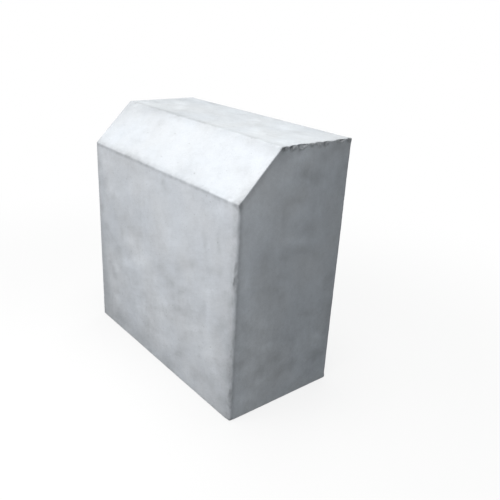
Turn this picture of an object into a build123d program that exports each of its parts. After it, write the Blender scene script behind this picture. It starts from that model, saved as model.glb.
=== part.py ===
from build123d import *
import math
import os

# Precast concrete kerb stone, a single casting for the edge of a road or path.
# Its section is a rectangle whose upper road-side corner is cut away by a flat splay.
# The section runs unchanged from one square end to the other.
#
# Frame: X along the kerb line, Y from the road face to the back face, Z up.
# The origin is the middle of the bed, the face that the stone is laid on.
# Every size is in millimetres.

# Overall sizes
unit_length = 300.0
unit_height = 300.0
bed_width = 150.0

# Splay: the flat top is what it leaves of the width, and it falls by its own drop
top_width = 100.0
splay_drop = 50.0

# Arrises: the mould rounds every edge, except those round the bed, which is struck off flush
moulded_radius = 3.0
bed_radius = 1.0

# Places that follow from the sizes
road_face = -bed_width / 2
back_face = bed_width / 2
splay_top_edge = back_face - top_width
splay_foot = unit_height - splay_drop


def section_outline():
    # The sharp section in the YZ plane, from the bed's road edge round to its back edge.
    return Polyline(
        (road_face, 0),
        (road_face, splay_foot),
        (splay_top_edge, unit_height),
        (back_face, unit_height),
        (back_face, 0),
        close=True,
    )


def kerb_stone():
    with BuildPart() as stone:
        with BuildSketch(Plane.YZ.offset(-unit_length / 2)):
            with BuildLine():
                section_outline()
            make_face()
        extrude(amount=unit_length)

        # The moulded arrises first, because the bed's smaller arris then runs
        # as one loop round the corners that they have rounded.
        round_the_bed = stone.edges().group_by(Axis.Z)[0]
        fillet(stone.edges() - round_the_bed, radius=moulded_radius)

        bed = stone.faces().sort_by(Axis.Z)[0]
        fillet(bed.edges(), radius=bed_radius)
    return stone.part


def main():
    os.makedirs("parts", exist_ok=True)
    stone = kerb_stone()
    stone.label = "kerb_stone"
    export_step(stone, "parts/kerb_stone.step")
    splay_angle = math.degrees(math.atan2(splay_drop, bed_width - top_width))
    print("volume of the stone, litres:", round(stone.volume / 1e6, 4))
    print("fall of the splay from level, degrees:", round(splay_angle, 2))


main()
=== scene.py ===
import itertools
import math

import bpy
import numpy as np
from mathutils import Matrix, Vector


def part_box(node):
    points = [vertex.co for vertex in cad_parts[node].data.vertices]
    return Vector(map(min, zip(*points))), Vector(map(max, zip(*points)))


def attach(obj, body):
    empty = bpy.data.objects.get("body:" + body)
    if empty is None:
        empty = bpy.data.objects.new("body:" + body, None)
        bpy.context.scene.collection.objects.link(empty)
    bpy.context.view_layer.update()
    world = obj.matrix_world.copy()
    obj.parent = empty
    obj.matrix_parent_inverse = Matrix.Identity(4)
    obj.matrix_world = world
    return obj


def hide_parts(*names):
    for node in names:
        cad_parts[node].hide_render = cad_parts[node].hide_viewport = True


# Precast concrete kerb stone. X runs along the kerb, Y from the road face to the back, Z up.
# Lengths are in metres, angles in degrees, colours linear.

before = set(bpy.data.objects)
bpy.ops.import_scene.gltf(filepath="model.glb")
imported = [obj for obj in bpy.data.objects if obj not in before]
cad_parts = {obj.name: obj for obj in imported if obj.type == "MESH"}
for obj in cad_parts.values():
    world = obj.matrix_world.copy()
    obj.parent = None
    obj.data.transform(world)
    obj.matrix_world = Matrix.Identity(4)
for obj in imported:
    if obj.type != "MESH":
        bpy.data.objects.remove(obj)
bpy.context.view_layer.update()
low, high = (np.array(corner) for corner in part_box("kerb_stone"))
print("frame loaded, the stone is", np.round(high - low, 4), "m")


# Small maths that several parts of the script use

def smoothStep(value, start, end):
    # 0 up to start, 1 from end on, and 3t^2 - 2t^3 between them
    t = np.clip((value - start) / (end - start), 0, 1)
    return t * t * (3 - 2 * t)


def unit(vectors):
    return vectors / np.linalg.norm(vectors, axis=-1, keepdims=True)


def lumps(points, size, seed, lattice=32):
    # Gradient noise, about -1 to 1. Each corner of a cubic lattice has a random direction. Its dot
    # product with the way to the point is blended between the eight corners by 6t^5 - 15t^4 + 10t^3.
    directions = unit(np.random.default_rng(seed).normal(size=(lattice, lattice, lattice, 3)))
    cell = points / size
    base = np.floor(cell).astype(int)
    t = cell - base
    fade = t ** 3 * (t * (6 * t - 15) + 10)
    total = np.zeros(len(points))
    for corner in itertools.product((0, 1), repeat=3):
        picked = directions[tuple(((base + corner) % lattice).T)]
        weight = np.where(corner, fade, 1 - fade).prod(axis=1)
        total += weight * (picked * (t - corner)).sum(axis=1)
    return 1.7 * total  # the blend alone stays within about 0.6


def layered(points, layers):
    # the sum of lumps of several sizes; a layer is their size, their strength and their seed
    return sum(strength * lumps(points, size, seed) for size, strength, seed in layers)


# The casting's own shape

kerb = {
    "topWidth": 0.100,  # the flat top, between the splay and the back
    "splayDrop": 0.050,
    "mouldedRadius": 0.003,  # every arris but those round the bed
    "crispRadius": 0.0014,  # along the arrises that wear calls crisp
    "bedRadius": 0.0012,
    "bedRadiusUpTo": (0.003, 0.008),  # heights between which one radius passes into the other
}

splayTopY = high[1] - kerb["topWidth"]
splayFootZ = high[2] - kerb["splayDrop"]
splayRun = splayTopY - low[1]
splayLength = math.hypot(splayRun, kerb["splayDrop"])
splayNormal = np.array([0, -kerb["splayDrop"], splayRun]) / splayLength


def underSplay(points):
    # how far a point lies inside the splay's plane
    return (points - (0, splayTopY, high[2])) @ -splayNormal


cells = {
    "along": 136,
    "deep": 104,
    "face": 102,  # up the road face, to the foot of the splay
    "splay": 36,
    "fine": 0.00062,  # width of the cells beside an arris
    "widening": (2.5, 13),  # they widen between these two, counted from the arris
}


def gradedLines(length, count):
    # Places of the grid lines along a length. The cells beside both ends are fine and widen by a
    # smooth step, to the one width at which they all add up to the length.
    fromEnd = np.minimum(np.arange(count), np.arange(count)[::-1])
    share = smoothStep(fromEnd, *cells["widening"])
    wide = (length - cells["fine"] * (1 - share).sum()) / share.sum()
    return np.concatenate([[0], np.cumsum(cells["fine"] * (1 - share) + wide * share)])


pattern = {"gap": 0.008}  # between the sides on the flat pattern, and round its border


def sharpBlock():
    # The block before its arrises are rounded, as six grids that share their border points: a
    # point is place i along, share j of the way from the road side to the back, and row k up. The
    # road side is bent: its rows follow the face and then the splay, and the back's rows match them.
    # Returns the points, the quads and each quad corner's place on the flat pattern of the six sides.
    along = low[0] + gradedLines(high[0] - low[0], cells["along"])
    deep = gradedLines(high[1] - low[1], cells["deep"]) / (high[1] - low[1])
    face = gradedLines(splayFootZ, cells["face"])
    splay = gradedLines(splayLength, cells["splay"])[1:]
    path = np.concatenate([face, splayFootZ + splay])
    roadY = np.concatenate([np.full(len(face), low[1]), low[1] + splayRun * splay / splayLength])
    roadZ = np.concatenate([face, splayFootZ + kerb["splayDrop"] * splay / splayLength])
    backZ = high[2] * path / path[-1]

    shape = (len(along), len(deep), len(path))
    inside = np.zeros(shape, bool)
    inside[1:-1, 1:-1, 1:-1] = True
    number = np.full(shape, -1)
    number[~inside] = np.arange((~inside).sum())
    i, j, k = np.nonzero(~inside)
    y = roadY[k] * (1 - deep[j]) + high[1] * deep[j]
    z = roadZ[k] * (1 - deep[j]) + backZ[k] * deep[j]
    points = np.stack([along[i], y, z], axis=1)

    # each side: its grid of point numbers, whether that grid faces inwards, and its place on the pattern
    gap = pattern["gap"]
    right = high[0] - low[0] + gap
    deepest = high[1] - low[1] + gap
    up = high[2] + gap
    x, yOf, zOf = points.T
    pathOf = path[k]
    sides = {
        "road": (number[:, 0, :], False, x - low[0], pathOf),
        "back": (number[:, -1, :], True, x - low[0], path[-1] + gap + zOf),
        "left": (number[0, :, :], True, right + yOf - low[1], zOf),
        "right": (number[-1, :, :], False, right + deepest + yOf - low[1], zOf),
        "top": (number[:, :, -1], False, right + x - low[0], up + yOf - splayTopY),
        "bed": (number[:, :, 0], True, right + x - low[0], up + kerb["topWidth"] + gap + yOf - low[1]),
    }
    wholePattern = path[-1] + high[2] + 3 * gap
    quads, places = [], []
    for grid, flip, across, upwards in sides.values():
        corners = np.stack([grid[:-1, :-1], grid[1:, :-1], grid[1:, 1:], grid[:-1, 1:]], axis=-1)
        corners = corners.reshape(-1, 4)[:, ::-1 if flip else 1]
        quads.append(corners)
        places.append((np.stack([across[corners], upwards[corners]], axis=-1) + gap) / wholePattern)
    return points, np.concatenate(quads), np.concatenate(places)


def rounded(points, radius):
    # Rounds the arrises. With q the nearest point of the block shrunk by the radius on every side,
    # a point p of the sharp block moves to q plus the radius along the way from q to p.
    # The radius may differ from point to point. Returns the points and that way, the outward normal.
    x, y, z = points.T
    nearX = np.clip(x, low[0] + radius, high[0] - radius)
    nearY = np.clip(y, low[1] + radius, high[1] - radius)
    nearZ = np.clip(z, low[2] + radius, high[2] - radius)

    # where that is above the shrunk splay, the nearest point is on the splay's own line
    drop = kerb["splayDrop"]
    footY = low[1] + radius
    footZ = splayFootZ - radius * (splayLength - drop) / splayRun
    headY = splayTopY + radius * (splayLength - splayRun) / drop
    upY, upZ = splayRun / splayLength, drop / splayLength
    reach = (headY - footY) / upY
    onLine = np.clip((y - footY) * upY + (z - footZ) * upZ, 0, reach)
    above = underSplay(np.stack([x, nearY, nearZ], axis=1)) < radius
    nearY = np.where(above, footY + onLine * upY, nearY)
    nearZ = np.where(above, footZ + onLine * upZ, nearZ)

    near = np.stack([nearX, nearY, nearZ], axis=1)
    outward = unit(points - near)
    return near + radius[:, None] * outward, outward


# Arrises and their wear

def arrisList():
    # Every arris by name: its two ends, the outward normals of its two sides, and the way into the
    # stone between them. wear's lean is the first side's share of that way, and otherwise it is half.
    corners = {
        "bedFront": (low[1], low[2]),
        "splayFoot": (low[1], splayFootZ),
        "splayHead": (splayTopY, high[2]),
        "topBack": (high[1], high[2]),
        "bedBack": (high[1], low[2]),
    }
    normals = {
        "face": (0, -1, 0),
        "splay": tuple(splayNormal),
        "top": (0, 0, 1),
        "back": (0, 1, 0),
        "bed": (0, 0, -1),
    }
    names, sides = list(corners), list(normals)
    found = {}

    def add(name, start, end, firstNormal, secondNormal):
        first, second = np.array(firstNormal, float), np.array(secondNormal, float)
        lean = wear["lean"].get(name, 0.5)
        inward = -unit(lean * first + (1 - lean) * second)
        found[name] = (np.array(start), np.array(end), first, second, inward)

    for n, name in enumerate(names):
        y, z = corners[name]
        add(name, (low[0], y, z), (high[0], y, z), normals[sides[n - 1]], normals[sides[n]])
        nextY, nextZ = corners[names[(n + 1) % len(names)]]
        for end, endX, outX in (("left", low[0], -1), ("right", high[0], 1)):
            add(end + " " + sides[n], (endX, y, z), (endX, nextY, nextZ), normals[sides[n]], (outX, 0, 0))
    return found


wear = {
    # by arris: how much rounder than its mould it has worn, and its random chips in each 100 mm
    "arrises": {
        "right top": (0.0, 0), "left top": (0.0, 5),
        "right splay": (0.0, 0), "left splay": (0.0, 2),
        "right face": (0.0014, 0), "left face": (0.0, 1),
        "right back": (0.0004, 1), "left back": (0.0006, 4),
        "right bed": (0.0002, 0), "left bed": (0.0003, 4),
        "splayFoot": (0.0003, 0), "splayHead": (0.0006, 0),
        "topBack": (0.0004, 4), "bedFront": (0.0002, 0), "bedBack": (0.0003, 5),
    },
    "wornAtEnd": {"right face": 0.0003},  # the wear at the far end, where it isn't the same there
    "crisp": ("right top", "left top", "right splay", "left splay", "left face"),
    "lean": {"right top": 0.20, "left top": 0.20},  # chips there flake off the ends
    "reach": 0.006,  # how far from its arris a radius counts
    # size, strength and seed of the long swellings of the wear, and of its short crumbs
    "uneven": ((0.021, 0.9, 3), (0.0042, 0.8, 4)),
    # chips that have a place of their own, in millimetres: how far along the arris, the radius, how
    # deep they go from the sharp arris, and how many times longer than that radius makes them
    "placed": {
        "right top": [
            (4, 7, 0.9, 1.4), (17, 8, 1.3, 1.5), (28, 10, 2.1, 1.4), (39, 7, 1.3, 1.2), (50, 8, 1.4, 1.4),
            (60, 7, 1.2, 1.4), (82, 9, 2.1, 1.4), (96, 6, 1.1, 1.2),
        ],
        "left top": [(12, 9, 2.4, 1.3), (44, 7, 2.0, 1.0), (71, 11, 3.0, 1.2)],
        "right face": [(172, 14, 2.3, 2.8), (86, 11, 1.9, 2.2), (32, 14, 2.2, 2.4)],
    },
    # the same for the random ones, in metres
    "bite": (0.0025, 0.0090),
    "depth": (0.0009, 0.0026),
    "stretch": (1.0, 2.2),
    "tall": 1.5,  # how many times taller than that radius makes them
    "ragged": ((0.0080, 0.0012, 6), (0.0028, 0.0007, 7)),  # size, depth and seed of their outline's lumps
    # share of brightness taken where a chip faces up, by arris and on the others: dirt, and painted shade
    "ledgeDirtAndShade": {"right top": 0.56, "left top": 0.40},
    "otherDirtAndShade": 0.15,
    "rimOfChip": (-0.0011, 0.0002),  # the broken look fades out over this way from inside a chip
    "seed": 11,
}


def alongArris(points, start, end):
    # how far along an arris each point lies, and how far off it
    way = unit(end - start)
    place = np.clip((points - start) @ way, 0, np.linalg.norm(end - start))
    return place, np.linalg.norm(points - start - place[:, None] * way, axis=1)


def arrisRadius(points, arrises):
    # The moulded radius, or the bed's low down, and the crisp one beside the crisp arrises. The most
    # worn arris nearby adds its wear, which changes evenly from its start to its end, times 1 + long
    # swellings + short crumbs. Both fade as exp(-(distance / reach)^2).
    moulded = smoothStep(points[:, 2] - low[2], *kerb["bedRadiusUpTo"])
    radius = kerb["bedRadius"] + (kerb["mouldedRadius"] - kerb["bedRadius"]) * moulded
    uneven = 1 + layered(points, wear["uneven"])
    crisp = np.zeros(len(points))
    extra = np.zeros(len(points))
    for name, (start, end, *_) in arrises.items():
        place, off = alongArris(points, start, end)
        near = np.exp(-(off / wear["reach"]) ** 2)
        worn = wear["arrises"][name][0]
        change = wear["wornAtEnd"].get(name, worn) - worn
        extra = np.maximum(extra, (worn + change * place / np.linalg.norm(end - start)) * near)
        if name in wear["crisp"]:
            crisp = np.maximum(crisp, near)
    radius += (np.minimum(radius, kerb["crispRadius"]) - radius) * crisp
    return radius + extra * np.clip(uneven, 0, None)


def bites(name, length, dice):
    # the placed bites of an arris, then its random ones, most of them small
    for place, radius, depth, stretch in wear["placed"].get(name, []):
        yield place / 1000, radius / 1000, depth / 1000, stretch
    for _ in range(round(length / 0.1 * wear["arrises"][name][1])):
        big = dice.random() ** 2
        radius, depth = (least + big * (most - least) for least, most in (wear["bite"], wear["depth"]))
        yield dice.uniform(0, length), radius, depth, dice.uniform(*wear["stretch"])


def bitten(points, arrises):
    # Small bites out of the arrises. A bite is an ellipsoid whose centre stands outside its arris. With
    # a, b and c the way from that centre along the arris, up its side and inwards, a and b shrunk by
    # the bite's length and height, a point inside slides inwards by sqrt(R^2 - a^2 - b^2) - c.
    # Returns the points, how broken they look (0 to 1), and the share of brightness that dirt and painted
    # shade take where they face up.
    dice = np.random.default_rng(wear["seed"])
    ragged = layered(points, wear["ragged"])
    tall = wear["tall"]
    nearest = np.full(len(points), -1.0)
    dirtAndShade = np.zeros(len(points))
    for name, (start, end, _, _, inward) in arrises.items():
        mostDirtAndShade = wear["ledgeDirtAndShade"].get(name, wear["otherDirtAndShade"])
        length = np.linalg.norm(end - start)
        way = (end - start) / length
        side = np.cross(way, inward)
        slide = np.zeros(len(points))
        for place, radius, depth, stretch in bites(name, length, dice):
            fromCentre = points - (start + way * place - inward * (radius - depth))
            along, up, deep = fromCentre @ way / stretch, fromCentre @ side / tall, fromCentre @ inward
            floor = np.sqrt(np.clip((radius + ragged) ** 2 - along ** 2 - up ** 2, 0, None))
            within = radius + ragged - np.sqrt(along ** 2 + up ** 2 + deep ** 2)
            slide = np.where(within > 0, np.maximum(slide, floor - deep), slide)
            # painted shade: what faces up in a chip, towards the overhead lamp, is darkened as dirt and
            # shade
            upward = -(along / stretch * way[2] + up / tall * side[2] + floor * inward[2]) / radius
            dirtAndShade = np.where(within > nearest, mostDirtAndShade * np.clip(upward, 0, 1), dirtAndShade)
            nearest = np.maximum(nearest, within)
        points = points + slide[:, None] * inward
    broken = smoothStep(nearest, *wear["rimOfChip"])
    return points, broken, dirtAndShade * broken


relief = {
    # size, depth and seed of the unevenness
    "moulded": ((0.085, 0.00030, 7), (0.017, 0.00012, 8)),
    "struck": ((0.0110, 0.00055, 9), (0.0040, 0.00030, 10)),  # on the bed, struck off by hand
    "bedFrom": (0.75, 0.98),  # how far down the skin faces where one passes into the other
}


def unevenDepth(points, outward):
    # how far the skin lies under the flat sides, always inwards: each depth times noise of 0 to 1
    moulded, struck = (sum(depth * np.clip(0.5 + 0.5 * lumps(points, size, seed), 0, 1)
                           for size, depth, seed in relief[name]) for name in ("moulded", "struck"))
    onBed = smoothStep(-outward[:, 2], *relief["bedFrom"])
    return moulded * (1 - onBed) + struck * onBed


# Marks that have a place of their own: darker rims along the arrises and stains, some of both painted light
# and shade

rims = [
    # arris, its first or second side, share of the brightness lost at the arris, and how wide
    ("splayFoot", 0, 0.200, 0.0055), ("splayFoot", 1, 0.105, 0.0070), ("splayFoot", 1, 0.040, 0.0160),
    ("splayHead", 0, 0.060, 0.0095), ("splayHead", 1, 0.130, 0.0095),
    # the second rim here is painted shade: the road face grows darker towards its right end
    ("right face", 0, 0.135, 0.0130), ("right face", 0, 0.060, 0.0500), ("right face", 1, 0.250, 0.0080),
    ("right splay", 0, 0.040, 0.0080), ("right splay", 1, 0.200, 0.0095),
    ("right top", 0, 0.060, 0.0090), ("right top", 1, 0.060, 0.0085), ("right top", 1, 0.060, 0.0040),
    # the second rim here is painted shade: the right end grows darker towards the back
    ("right back", 0, 0.040, 0.0080), ("right back", 1, 0.050, 0.0350),
    ("right bed", 0, 0.040, 0.0060),
    ("bedFront", 0, 0.040, 0.0060), ("bedFront", 1, 0.060, 0.0080),
    ("left face", 0, 0.090, 0.0110), ("left face", 1, 0.120, 0.0080),
    ("left splay", 0, 0.015, 0.0060), ("left splay", 1, 0.130, 0.0070),
    ("left top", 0, 0.030, 0.0060), ("left top", 1, 0.060, 0.0080), ("left top", 1, 0.060, 0.0040),
    ("left back", 0, 0.090, 0.0090), ("left back", 1, 0.090, 0.0090),
    ("topBack", 0, 0.050, 0.0060), ("topBack", 1, 0.110, 0.0080),
    ("bedBack", 0, 0.080, 0.0100), ("left bed", 0, 0.080, 0.0100),
]

rimLook = {
    "uneven": ((0.009, 0.6, 21), (0.0035, 0.5, 22)),  # size, strength and seed of the rims' lumps
    "full": 0.0015,  # a rim is full up to this distance from its arris
    "facing": (-0.5, 0.5),  # how far the skin leans to the rim's own side where the rim comes in
}

stainsAndPaintedLight = {
    # by side, in millimetres and degrees: the place across and up, how long and how wide the stain is, how
    # its length rises to the right, and its change of brightness. A few broad ones are painted light and
    # shade, marked where they stand.
    "roadFace": [
        (65, 147, 6, 5, 0, -0.10), (88, 160, 16, 6, 15, -0.10), (74, 169, 11, 7, 20, -0.08),
        (62, 160, 15, 13, 0, -0.05), (110, 157, 8, 5, 20, -0.08), (112, 182, 26, 5, 20, -0.05),
        (20, 139, 11, 8, 10, -0.11), (8, 163, 5, 5, 0, -0.10), (8, 222, 7, 5, 20, -0.11),
        (15, 199, 13, 7, 15, -0.09), (50, 116, 14, 5, 22, -0.09), (38, 127, 15, 5, 15, -0.06),
        (164, 237, 5, 4, 0, -0.15), (155, 132, 15, 8, 5, -0.10), (180, 122, 12, 8, 25, -0.10),
        (136, 117, 11, 5, 25, -0.07), (185, 107, 9, 4, 25, -0.08), (197, 95, 13, 6, 25, -0.10),
        (209, 122, 16, 4, 25, -0.09), (217, 101, 12, 5, 20, -0.07), (236, 135, 12, 4, 20, -0.09),
        (225, 163, 7, 5, 0, -0.12), (210, 155, 14, 5, 20, -0.08), (197, 145, 9, 6, 20, -0.08),
        (258, 167, 11, 4, 15, -0.10), (247, 192, 15, 4, 95, -0.11), (269, 200, 10, 4, 100, -0.11),
        (244, 236, 6, 5, 0, -0.07), (248, 117, 9, 5, 60, -0.09), (276, 105, 13, 6, 70, -0.10),
        (275, 172, 10, 5, 60, -0.07), (38, 76, 7, 6, 0, -0.09), (116, 79, 9, 4, 20, -0.08),
        (172, 74, 9, 6, 15, -0.07), (182, 60, 7, 5, 20, -0.07), (209, 61, 15, 6, 50, -0.08),
        (127, 42, 10, 5, 25, -0.10), (202, 38, 12, 8, 45, -0.11), (233, 27, 13, 8, 20, -0.11),
        (256, 30, 12, 5, 20, -0.10), (112, 14, 24, 9, 15, -0.13), (172, 8, 18, 8, 10, -0.13),
        (45, 14, 26, 10, 10, -0.13), (12, 40, 40, 12, 90, -0.13), (6, 110, 50, 9, 90, -0.09),
        (285, 20, 14, 7, 30, -0.10), (75, 108, 14, 7, 15, 0.10), (106, 121, 29, 7, 22, 0.12),
        (83, 141, 13, 6, 15, 0.09), (45, 90, 8, 8, 0, 0.10), (31, 63, 10, 7, 20, 0.08),
        (41, 43, 8, 7, 10, 0.11), (27, 230, 12, 8, 10, 0.11), (37, 199, 12, 11, 20, 0.10),
        (56, 195, 10, 4, 15, 0.07), (85, 207, 30, 10, 15, 0.05), (128, 229, 15, 6, 15, 0.06),
        (182, 172, 26, 11, 20, 0.055), (175, 183, 9, 5, 20, 0.05), (165, 91, 14, 6, 15, 0.09),
        (106, 57, 13, 9, 15, 0.09), (160, 66, 13, 7, 15, 0.06), (168, 38, 22, 6, 10, 0.11),
        (256, 118, 30, 6, 86, 0.055), (248, 139, 26, 4, 20, 0.08), (260, 67, 17, 8, 20, 0.12),
        (225, 82, 26, 4, 25, 0.06), (272, 237, 14, 7, 10, 0.09), (268, 50, 8, 6, 10, 0.11),
        # the last one on this line and the first on the next are painted shade: darker along the road face's
        # foot and down its right end
        (218, 20, 8, 7, 0, 0.06), (125, 60, 75, 45, 0, 0.03), (150, 5, 300, 35, 0, -0.025),
        (292, 100, 130, 30, 90, -0.025), (150, 125, 600, 400, 0, -0.018),
        (105, 115, 75, 50, 90, 0.030), (205, 232, 70, 25, 0, -0.018), (72, 243, 32, 9, 0, -0.065),
        (20, 244, 18, 8, 0, 0.080), (295, 80, 55, 9, 90, -0.070),
    ],
    "splay": [
        (38, 63, 44, 7, 3, -0.105), (96, 55, 9, 6, 0, -0.085), (270, 35, 11, 7, -10, -0.075),
        (12, 16, 9, 6, 0, -0.030), (78, 22, 16, 3, 10, -0.045), (24, 18, 42, 16, 0, 0.050),
        (62, 40, 22, 9, 0, 0.035), (8, 60, 10, 12, 0, -0.060), (150, 27, 9, 4, 0, -0.025),
        (180, 37, 9, 4, -25, -0.030), (204, 60, 9, 4, -25, -0.030), (133, 17, 9, 3, -35, -0.030),
        (247, 22, 8, 4, 0, -0.025), (200, 66, 40, 5, 0, -0.030), (284, 52, 7, 9, 0, 0.030),
        (95, 70, 75, 3, 0, -0.035), (118, 68, 7, 3, 0, -0.090), (72, 69, 8, 3, 0, -0.050),
        (225, 70, 30, 4, 0, 0.030), (92, 1, 28, 6, 0, -0.100), (150, 35, 600, 200, 0, 0.024),
        (290, 64, 15, 7, 0, -0.075), (299, 14, 6, 9, 0, -0.120), (195, 11, 16, 7, 0, -0.100),
        (225, 11, 18, 5, 0, -0.045), (272, 1, 24, 4, 0, 0.110), (20, 66, 15, 6, 0, 0.060),
        (256, 65, 14, 6, 0, -0.060),
    ],
    "top": [
        (16, 72, 11, 8, 80, -0.130), (62, 93, 15, 6, -10, -0.120), (105, 6, 28, 8, 0, -0.100),
        (160, 3, 14, 5, 0, -0.090), (115, 50, 14, 7, -30, -0.070), (20, 26, 16, 8, -20, -0.090),
        (8, 50, 9, 5, -20, -0.090), (96, 21, 14, 6, -30, -0.060), (202, 52, 12, 5, -45, -0.090),
        (252, 64, 14, 8, 60, -0.080), (262, 91, 12, 6, 0, -0.090), (243, 88, 6, 10, 0, -0.050),
        (158, 90, 11, 5, -30, -0.070), (190, 92, 12, 5, 0, -0.040), (252, 3, 9, 4, 0, -0.070),
        (36, 77, 16, 5, -30, -0.040), (37, 54, 13, 7, -15, 0.130), (66, 36, 22, 6, -32, 0.090),
        (62, 81, 14, 4, -30, 0.060), (90, 70, 26, 7, -20, 0.030), (178, 69, 11, 4, -25, 0.070),
        (226, 70, 13, 8, -30, 0.100), (212, 90, 12, 4, -35, 0.050), (228, 27, 20, 7, -32, 0.110),
        (272, 52, 10, 8, 0, 0.060), (279, 18, 10, 9, -20, 0.130), (150, 46, 40, 5, -32, 0.035),
        (24, 90, 10, 6, 0, 0.050), (95, 0, 75, 4, 0, -0.045), (80, 25, 45, 20, 0, -0.025),
        (248, 1, 60, 4, 0, 0.055), (118, 2, 9, 4, 0, -0.050), (22, 20, 25, 20, 0, 0.025),
    ],
    "rightEnd": [
        (54, 291, 9, 7, 40, -0.130), (71, 295, 8, 5, 10, -0.150), (86, 269, 13, 5, -25, -0.130),
        (101, 262, 8, 7, 0, -0.110), (60, 228, 12, 5, 90, -0.110), (72, 243, 16, 4, -10, -0.070),
        (97, 207, 10, 7, -15, -0.110), (101, 233, 10, 5, 90, -0.070), (124, 214, 26, 8, 95, -0.050),
        (38, 181, 15, 8, 80, -0.085), (64, 182, 7, 5, 0, -0.120), (87, 185, 13, 4, -10, -0.110),
        (107, 179, 10, 4, -15, -0.060), (45, 152, 13, 5, -10, -0.080), (64, 134, 5, 5, 0, -0.080),
        (62, 160, 10, 4, -15, -0.070), (70, 118, 10, 14, 0, -0.050), (110, 284, 9, 6, 0, -0.080),
        (128, 291, 14, 4, 0, -0.110), (137, 262, 12, 4, 90, -0.070), (42, 52, 7, 6, 40, -0.160),
        (60, 60, 10, 6, -30, -0.120), (76, 82, 20, 4, -40, -0.060), (70, 38, 13, 6, 10, -0.130),
        (90, 41, 9, 6, 70, -0.140), (126, 40, 10, 7, 20, -0.155), (139, 38, 6, 7, 0, -0.120),
        (137, 138, 10, 8, 60, -0.110), (143, 80, 30, 7, 90, -0.100), (12, 70, 8, 8, 0, -0.120),
        (107, 103, 18, 4, -10, -0.060), (22, 84, 9, 4, -40, -0.100), (118, 20, 12, 6, 0, -0.090),
        (22, 238, 19, 16, 90, 0.110), (36, 212, 13, 12, 0, 0.080), (15, 196, 16, 8, 90, 0.090),
        (76, 287, 17, 7, 10, 0.110), (58, 266, 14, 10, 0, 0.090), (34, 266, 12, 6, 40, 0.060),
        (80, 227, 13, 10, 0, 0.090), (80, 198, 18, 5, -8, 0.130), (15, 166, 14, 7, 90, 0.130),
        (19, 134, 15, 8, 90, 0.130), (40, 112, 18, 6, -25, 0.080), (47, 79, 13, 5, -10, 0.120),
        (20, 92, 12, 7, -40, 0.090), (22, 58, 10, 8, -30, 0.080), (20, 22, 16, 8, 0, 0.150),
        (42, 37, 10, 5, 0, 0.100), (78, 148, 8, 5, 0, 0.050), (82, 129, 14, 3, -15, 0.060),
        (130, 65, 13, 3, -20, 0.140), (126, 55, 9, 3, -25, 0.110), (124, 140, 7, 8, 0, 0.060),
        (97, 60, 26, 6, 90, 0.060), (100, 22, 20, 8, 0, 0.050), (132, 275, 8, 12, 0, 0.040),
        # the first and the last here are painted light: the right end paler towards the road face and along
        # its foot
        (25, 70, 85, 25, 90, 0.045), (75, 150, 600, 300, 0, 0.025), (75, 2, 200, 14, 0, 0.050),
        (75, 278, 25, 20, 0, 0.035), (76, 172, 26, 22, 0, -0.030),
    ],
}

# the sides that have no list of their own get stains of the same kinds, drawn at random
scatter = {
    "count": {"leftEnd": 45, "back": 75, "bed": 40},
    "long": (6, 20),
    "wide": (4, 9),
    "tilt": (-40, 40),
    "change": (-0.13, 0.11),
    "seed": 31,
}


def scatteredStains(name, wide, tall, dice):
    # a side's random stains, every number of theirs drawn evenly between its limits
    count = scatter["count"][name]
    ranges = [(0, wide), (0, tall), scatter["long"], scatter["wide"], scatter["tilt"], scatter["change"]]
    return list(zip(*(dice.uniform(least, most, count) for least, most in ranges)))


stainAndPaintedLightLook = {
    "strength": 1.22,  # of every change of brightness
    # how the stains' outlines stray: the lumps' size, how far they reach in millimetres, and their seed
    "strayAcross": (0.009, 3.5, 23),
    "strayUp": (0.009, 3.5, 24),
    "facing": (0.70, 0.95),  # how squarely the skin faces out of the side where a stain comes in
}


def rimTone(points, outward, arrises):
    # The share of brightness lost in the rims. Each is full at its arris and falls to none at its
    # width by a smooth step, on the side that the point's outward normal leans towards.
    lost = np.zeros(len(points))
    uneven = 1 + layered(points, rimLook["uneven"])
    for name, side, amount, width in rims:
        start, end, first, second, _ = arrises[name]
        off = alongArris(points, start, end)[1]
        towards = first - second if side == 0 else second - first
        onSide = smoothStep(outward @ towards, *rimLook["facing"])
        lost += amount * onSide * smoothStep(off, width, rimLook["full"])
    return lost * np.clip(uneven, 0, None)


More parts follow.
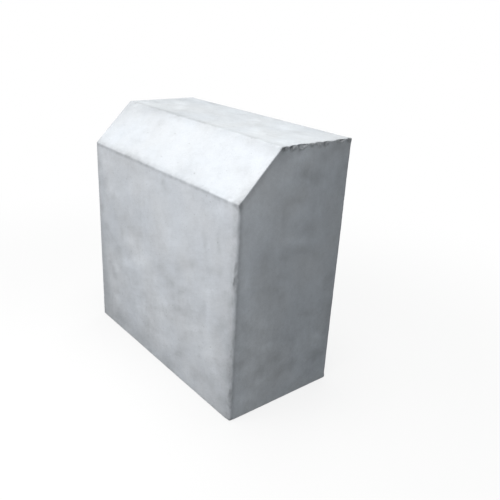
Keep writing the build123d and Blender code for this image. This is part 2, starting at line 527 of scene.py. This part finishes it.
def stainAndPaintedLightTone(points, outward):
    # The change of brightness from the stains and from the painted light and shade among them: each is its
    # amount times exp(-(along^2 + aside^2)), measured from its place, along and aside its own length, in its
    # own sizes. Places on the splay and the top run up from their lower arris.
    x, y, z = (points - (low[0], low[1], low[2])).T * 1000
    length, width, height = (high - low) * 1000
    splayUp = (y * splayRun + (z - splayFootZ * 1000) * kerb["splayDrop"]) / splayLength
    dice = np.random.default_rng(scatter["seed"])
    sides = [
        ((0, -1, 0), x, z, stainsAndPaintedLight["roadFace"]),
        (splayNormal, x, splayUp, stainsAndPaintedLight["splay"]),
        ((0, 0, 1), x, y - splayRun * 1000, stainsAndPaintedLight["top"]),
        ((1, 0, 0), y, z, stainsAndPaintedLight["rightEnd"]),
        ((-1, 0, 0), y, z, scatteredStains("leftEnd", width, height, dice)),
        ((0, 1, 0), x, z, scatteredStains("back", length, height, dice)),
        ((0, 0, -1), x, y, scatteredStains("bed", length, width, dice)),
    ]
    strayAcross, strayUp = (layered(points, [stainAndPaintedLightLook[name]]) for name in ("strayAcross", "strayUp"))
    change = np.zeros(len(points))
    for normal, across, up, marks in sides:
        squarely = outward @ np.array(normal, float)
        here = np.flatnonzero(squarely > stainAndPaintedLightLook["facing"][0])
        there = smoothStep(squarely[here], *stainAndPaintedLightLook["facing"])
        across, up = (across + strayAcross)[here], (up + strayUp)[here]
        for placeAcross, placeUp, long, wide, tilt, amount in marks:
            cosine, sine = math.cos(math.radians(tilt)), math.sin(math.radians(tilt))
            along = ((across - placeAcross) * cosine + (up - placeUp) * sine) / long
            aside = ((up - placeUp) * cosine - (across - placeAcross) * sine) / wide
            change[here] += there * amount * np.exp(-along ** 2 - aside ** 2)
    return stainAndPaintedLightLook["strength"] * change


mottling = {
    "low": 1.05,  # how strongly the low parts are mottled
    "lessHigh": 0.30,  # how much less the high ones are
    "heights": (0.03, 0.20),  # between which it changes
    "cleanSplay": 0.30,  # share of it that the splay lacks
    "splayFacing": (0.80, 0.97),  # how squarely the skin faces out of the splay where that comes in
}


def makeCasting():
    sharp, quads, places = sharpBlock()
    arrises = arrisList()
    points, outward = rounded(sharp, arrisRadius(sharp, arrises))
    tone = 1 - rimTone(sharp, outward, arrises) + stainAndPaintedLightTone(sharp, outward)
    mottled = mottling["low"] - mottling["lessHigh"] * smoothStep(sharp[:, 2], *mottling["heights"])
    mottled *= 1 - mottling["cleanSplay"] * smoothStep(outward @ splayNormal, *mottling["splayFacing"])
    points = points - unevenDepth(sharp, outward)[:, None] * outward
    points, broken, dirtAndShade = bitten(points, arrises)
    # dirt and painted shade on the up-facing parts of the chips
    tone *= 1 - dirtAndShade

    mesh = bpy.data.meshes.new("kerb_stone_cast")
    mesh.vertices.add(len(points))
    mesh.vertices.foreach_set("co", points.ravel())
    mesh.loops.add(quads.size)
    mesh.loops.foreach_set("vertex_index", quads.ravel())
    mesh.polygons.add(len(quads))
    mesh.polygons.foreach_set("loop_start", np.arange(0, quads.size, 4))
    mesh.polygons.foreach_set("use_smooth", np.ones(len(quads), bool))
    mesh.update(calc_edges=True)
    mesh.uv_layers.new(name="OFBake").uv.foreach_set("vector", places.reshape(-1))
    kept = {"tone": tone, "broken": broken, "mottled": mottled}
    for name, values in kept.items():
        mesh.attributes.new(name, "FLOAT", "POINT").data.foreach_set("value", values)
    mesh.validate()

    stone = bpy.data.objects.new("kerb_stone_cast", mesh)
    bpy.context.collection.objects.link(stone)
    print("casting made:", len(points), "points,", 2 * len(quads), "triangles")
    return stone


# Shader maths: a socket that takes part in Python expressions

class Wire:
    def __init__(self, tree, socket):
        self.tree, self.socket = tree, socket

    def node(self, kind, settings, sockets, output=0):
        # any node: its settings first, then a value or a link for each socket, by name or number
        made = self.tree.nodes.new("ShaderNode" + kind)
        for name, value in settings.items():
            setattr(made, name, value)
        for key, value in sockets.items():
            if isinstance(value, Wire):
                self.tree.links.new(value.socket, made.inputs[key])
            else:
                made.inputs[key].default_value = value
        return Wire(self.tree, made.outputs[output])

    def output(self, name):
        # another output of the same node
        return Wire(self.tree, self.socket.node.outputs[name])

    def maths(self, operation, *values):
        return self.node("Math", {"operation": operation}, dict(enumerate(values)))

    def __add__(self, other): return self.maths("ADD", self, other)
    def __radd__(self, other): return self.maths("ADD", other, self)
    def __sub__(self, other): return self.maths("SUBTRACT", self, other)
    def __rsub__(self, other): return self.maths("SUBTRACT", other, self)
    def __mul__(self, other): return self.maths("MULTIPLY", self, other)
    def __rmul__(self, other): return self.maths("MULTIPLY", other, self)
    def __truediv__(self, other): return self.maths("DIVIDE", self, other)
    def __pow__(self, other): return self.maths("POWER", self, other)

    def least(self, other): return self.maths("MINIMUM", self, other)
    def most(self, other): return self.maths("MAXIMUM", self, other)

    def rise(self, start, end):
        # 0 at start, 1 at end, with a smooth step between them; start may be the larger one
        return self.node("MapRange", {"interpolation_type": "SMOOTHSTEP"},
                         {"Value": self, "From Min": start, "From Max": end})

    def stretched(self, factors):
        return self.node("VectorMath", {"operation": "MULTIPLY"}, {0: self, 1: factors})

    def moved(self, by):
        return self.node("VectorMath", {"operation": "ADD"}, {0: self, 1: by})

    def scaled(self, by):
        return self.node("VectorMath", {"operation": "SCALE"}, {0: self, "Scale": by})

    def split(self):
        return [self.node("SeparateXYZ", {}, {0: self}, axis) for axis in range(3)]

    def noise(self, size, detail=2.0, roughness=0.5, warp=0.0):
        # clouds of about that size in metres, -1 to 1 round 0
        found = self.node("TexNoise", {}, {"Vector": self, "Scale": 1 / size, "Detail": detail,
                                           "Roughness": roughness, "Distortion": warp})
        return (found - 0.5) * 2

    def mixed(self, first, second):
        # self is the share of the second colour
        return self.node("Mix", {"data_type": "RGBA"}, {0: self, 6: first, 7: second}, 2)


def newMaterial(name):
    # an empty material, a wire to start its nodes from, and its output node
    material = bpy.data.materials.new(name)
    material.use_nodes = True
    tree = material.node_tree
    tree.nodes.clear()
    output = tree.nodes.new("ShaderNodeOutputMaterial")
    return material, Wire(tree, None), output


concrete = {
    "coolPaste": (0.509, 0.539, 0.576, 1),
    "warmPaste": (0.520, 0.542, 0.568, 1),
    # soft patches of the warm paste, and those that hold the upright streaks: the noise's size and
    # detail, its values between which a patch comes in, and the shift that keeps its pattern apart
    "warmPatches": (0.055, 2, (-0.45, 0.45), (0.2, 0.9, 0.4)),
    "streakPatches": (0.050, 1, (-0.3, 0.5), (0.5, 0.3, 0.8)),
    # the mottling's clouds: size, share of the brightness each way, detail, warp and shift
    "clouds": [
        (0.0600, 0.130, 3, 0.4, (0.0, 0.0, 0.0)),
        (0.0210, 0.115, 4, 0.3, (0.3, 0.2, 0.1)),
        (0.0085, 0.090, 3, 0.0, (0.1, 0.6, 0.3)),
        (0.0032, 0.045, 2, 0.0, (0.7, 0.1, 0.4)),
    ],
    "cloudRoughness": 0.6,
    # the float's smears along the kerb and the upright streaks: width, share of the brightness, and
    # length in widths
    "smears": [(0.0055, 0.085, 4), (0.0024, 0.050, 4)],
    "smearTilt": 20,  # how they rise to the right
    "streaks": (0.0050, 0.070, 7),
    "darkSpots": 1.8,  # how much further the dark parts of the mottling go than the pale ones
    "sand": {"size": 0.0006, "detail": 3, "roughness": 0.75, "share": 0.300, "moreWhereBroken": 2},
    "brokenDarker": 0.16,
    # pores and grains: how far apart the cells are, the spots' largest radius, the share of the cells
    # that hold one, the share of the brightness it takes, and the shift of the pattern
    "pores": (0.0070, 0.00095, 0.55, 0.35, (0.0, 0.0, 0.0)),
    "darkGrains": (0.0019, 0.00055, 0.40, 0.26, (0.4, 0.7, 0.2)),
    "paleGrains": (0.0024, 0.00060, 0.40, -0.14, (0.8, 0.1, 0.6)),
    "spotEdge": (1.0, 0.55),  # the radii, as shares of its own, between which a spot comes in
    "roughness": 0.88,
    "rougherWhenPale": (0.5, 0.06),  # share of the mottling added to it, and the most that adds
    # heights of the relief in metres
    "sandRelief": 0.00009,
    "brokenRelief": 0.00035,
    "poreDepth": 0.00050,
}


def concreteMaterial():
    material, start, output = newMaterial("grey_cast_concrete")
    place = start.node("TexCoord", {}, {}, "Object")
    tone, broken, mottled = (start.node("Attribute", {"attribute_name": name}, {}, "Fac")
                             for name in ("tone", "broken", "mottled"))

    def patches(name):
        size, detail, edge, shift = concrete[name]
        return place.moved(shift).noise(size, detail).rise(*edge)

    def cloud(size, amount, detail, warp, shift):
        return place.moved(shift).noise(size, detail, concrete["cloudRoughness"], warp) * amount

    # the mottling: clouds of several sizes, then smears and streaks, which are noise drawn out
    mottle = sum(cloud(*layer) for layer in concrete["clouds"])
    tilt = math.radians(concrete["smearTilt"])
    turned = start.node("VectorRotate", {"rotation_type": "Y_AXIS"}, {"Vector": place, "Angle": tilt})
    for width, amount, length in concrete["smears"]:
        mottle = mottle + turned.stretched((1 / length, 1, 1)).noise(width) * amount
    width, amount, length = concrete["streaks"]
    streaks = place.stretched((1, 1, 1 / length)).noise(width) * patches("streakPatches")
    mottle = mottle + streaks * amount
    mottle = (mottle - mottle * mottle * concrete["darkSpots"]) * mottled

    sand = concrete["sand"]
    grain = place.noise(sand["size"], sand["detail"], sand["roughness"])
    grit = grain * (sand["share"] * (1 + broken * sand["moreWhereBroken"]))

    def spots(name):
        # round spots, one in some of the cells of a Voronoi pattern, each of its own size
        apart, largest, kept, _, shift = concrete[name]
        cells = {"Vector": place.moved(shift), "Scale": 1 / apart}
        nearest = start.node("TexVoronoi", {"feature": "F1"}, cells)
        dice = start.node("SeparateColor", {}, {0: nearest.output("Color")}, 0)
        radius = dice.rise(1 - kept, 1.0) * (largest / apart)
        return (nearest / (radius + 0.0001)).rise(*concrete["spotEdge"])  # never divided by nothing

    found = {name: spots(name) for name in ("pores", "darkGrains", "paleGrains")}
    speckle = sum(spot * concrete[name][3] for name, spot in found.items())

    brightness = tone * (1 + mottle + grit) * (1 - broken * concrete["brokenDarker"])
    brightness = brightness * (1 - speckle)
    colour = patches("warmPatches").mixed(concrete["coolPaste"], concrete["warmPaste"]).scaled(brightness)

    height = grain * (concrete["sandRelief"] + broken * concrete["brokenRelief"])
    height = height - found["pores"] * concrete["poreDepth"]
    bump = start.node("Bump", {}, {"Strength": 1.0, "Distance": 1.0, "Height": height})
    share, most = concrete["rougherWhenPale"]
    roughness = concrete["roughness"] + (mottle * share).least(most)
    shader = start.node("BsdfPrincipled", {}, {"Base Color": colour, "Normal": bump, "Roughness": roughness})
    shader.tree.links.new(shader.socket, output.inputs["Surface"])
    return material


# Floor, light and camera

studio = {
    "floorSide": 8.0,
    "floorColour": (0.10, 0.10, 0.10, 1),  # as light on the stone meets it
    "seenColour": (0.70, 0.70, 0.70, 1),  # as the camera meets it, near the stone
    "seenWhite": 0.80,  # share of plain white in what the camera sees there
    "whiteFrom": (0.22, 0.75),  # distances from the stone's middle over which that share rises to 1
    "worldColour": (0.915, 1.005, 1.055, 1),
    "worldStrength": 0.28,
    "lamps": {
        # place, the point it looks at, side of the square, power in watts, colour
        "overhead_lamp": ((-0.02, -0.01, 1.80), (0, 0, 0.25), 1.0, 21.2, (1.0, 0.980, 0.938)),
        "front_lamp": ((0.11, -0.50, 0.43), (0, 0, 0.15), 0.8, 4.25, (1.0, 0.982, 0.978)),
        "back_lamp": ((-0.55, 0.95, 0.28), (0, 0, 0.15), 0.5, 4.5, (1.0, 1.0, 1.0)),
    },
}


def seenByEye(start):
    # 1 for the rays that show the background: the camera's, and those through gloss and glass
    rays = [start.node("LightPath", {}, {}, name) for name in
            ("Is Camera Ray", "Is Glossy Ray", "Is Transmission Ray")]
    return rays[0].most(rays[1]).most(rays[2])


def makeFloor():
    # to the eye almost plain white, with the stone's shadow, and to the stone a dim grey
    material, start, output = newMaterial("pale_floor")
    seen = seenByEye(start)
    x, y, _ = start.node("TexCoord", {}, {}, "Object").split()
    far = ((x * x + y * y) ** 0.5).rise(*studio["whiteFrom"])
    plainWhite = seen * (studio["seenWhite"] + (1 - studio["seenWhite"]) * far)
    lit = start.node("BsdfDiffuse", {}, {"Color": seen.mixed(studio["floorColour"], studio["seenColour"])})
    white = start.node("Emission", {}, {"Color": (1, 1, 1, 1), "Strength": 1.0})
    shader = start.node("MixShader", {}, {0: plainWhite, 1: lit, 2: white})
    shader.tree.links.new(shader.socket, output.inputs["Surface"])

    corners = np.array([(-1, -1, 0), (1, -1, 0), (1, 1, 0), (-1, 1, 0)]) * studio["floorSide"] / 2
    mesh = bpy.data.meshes.new("studio_floor")
    mesh.from_pydata(corners.tolist(), [], [(0, 1, 2, 3)])
    floor = bpy.data.objects.new("studio_floor", mesh)
    mesh.materials.append(material)
    bpy.context.collection.objects.link(floor)


def makeWorld():
    # plain white to the eye, and a weaker, cool light on the stone
    world = bpy.data.worlds.new("studio_world")
    world.use_nodes = True
    tree = world.node_tree
    tree.nodes.clear()
    output = tree.nodes.new("ShaderNodeOutputWorld")
    start = Wire(tree, None)
    seen = seenByEye(start)
    strength = seen + (1 - seen) * studio["worldStrength"]
    colour = seen.mixed(studio["worldColour"], (1, 1, 1, 1))
    light = start.node("Background", {}, {"Color": colour, "Strength": strength})
    tree.links.new(light.socket, output.inputs["Surface"])
    bpy.context.scene.world = world


def makeLamps():
    for name, (place, aim, side, power, colour) in studio["lamps"].items():
        lamp = bpy.data.lights.new(name, "AREA")
        lamp.shape, lamp.size, lamp.energy, lamp.color = "SQUARE", side, power, colour
        holder = bpy.data.objects.new(name, lamp)
        holder.location = place
        holder.visible_camera = False
        holder.rotation_euler = (Vector(aim) - Vector(place)).to_track_quat("-Z", "Y").to_euler()
        bpy.context.collection.objects.link(holder)


camera = {
    "azimuth": 49.75,  # from straight in front of the road face, towards the right end
    "elevation": 22.36,
    "roll": 3.20,
    "distance": 0.7418,
    "lens": 42.58,
    "sensor": 36,  # its width; both in millimetres
    "aim": (0.0, 0.0, 0.150),
    "aimRight": 0.0516,  # the picture's middle lies this far right of that point
    "aimUp": -0.0137,
}


def makeCamera():
    azimuth, elevation, roll = (math.radians(camera[name]) for name in ("azimuth", "elevation", "roll"))
    back = Vector((math.sin(azimuth) * math.cos(elevation), -math.cos(azimuth) * math.cos(elevation),
                   math.sin(elevation)))
    level = Vector((math.cos(azimuth), math.sin(azimuth), 0))
    upright = back.cross(level)
    right = math.cos(roll) * level + math.sin(roll) * upright
    up = math.cos(roll) * upright - math.sin(roll) * level
    lens = bpy.data.cameras.new("camera")
    lens.lens, lens.sensor_width = camera["lens"], camera["sensor"]
    holder = bpy.data.objects.new("camera", lens)
    aim = Vector(camera["aim"]) + camera["aimRight"] * right + camera["aimUp"] * up
    place = aim + camera["distance"] * back
    holder.matrix_world = Matrix.Translation(place) @ Matrix((right, up, back)).transposed().to_4x4()
    bpy.context.collection.objects.link(holder)
    bpy.context.scene.camera = holder


stone = makeCasting()
stone.data.materials.append(concreteMaterial())
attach(stone, "root")
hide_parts("kerb_stone")
print("concrete in place")

makeFloor()
makeWorld()
makeLamps()
makeCamera()
bpy.context.scene.view_settings.view_transform = "Standard"
print("studio in place")
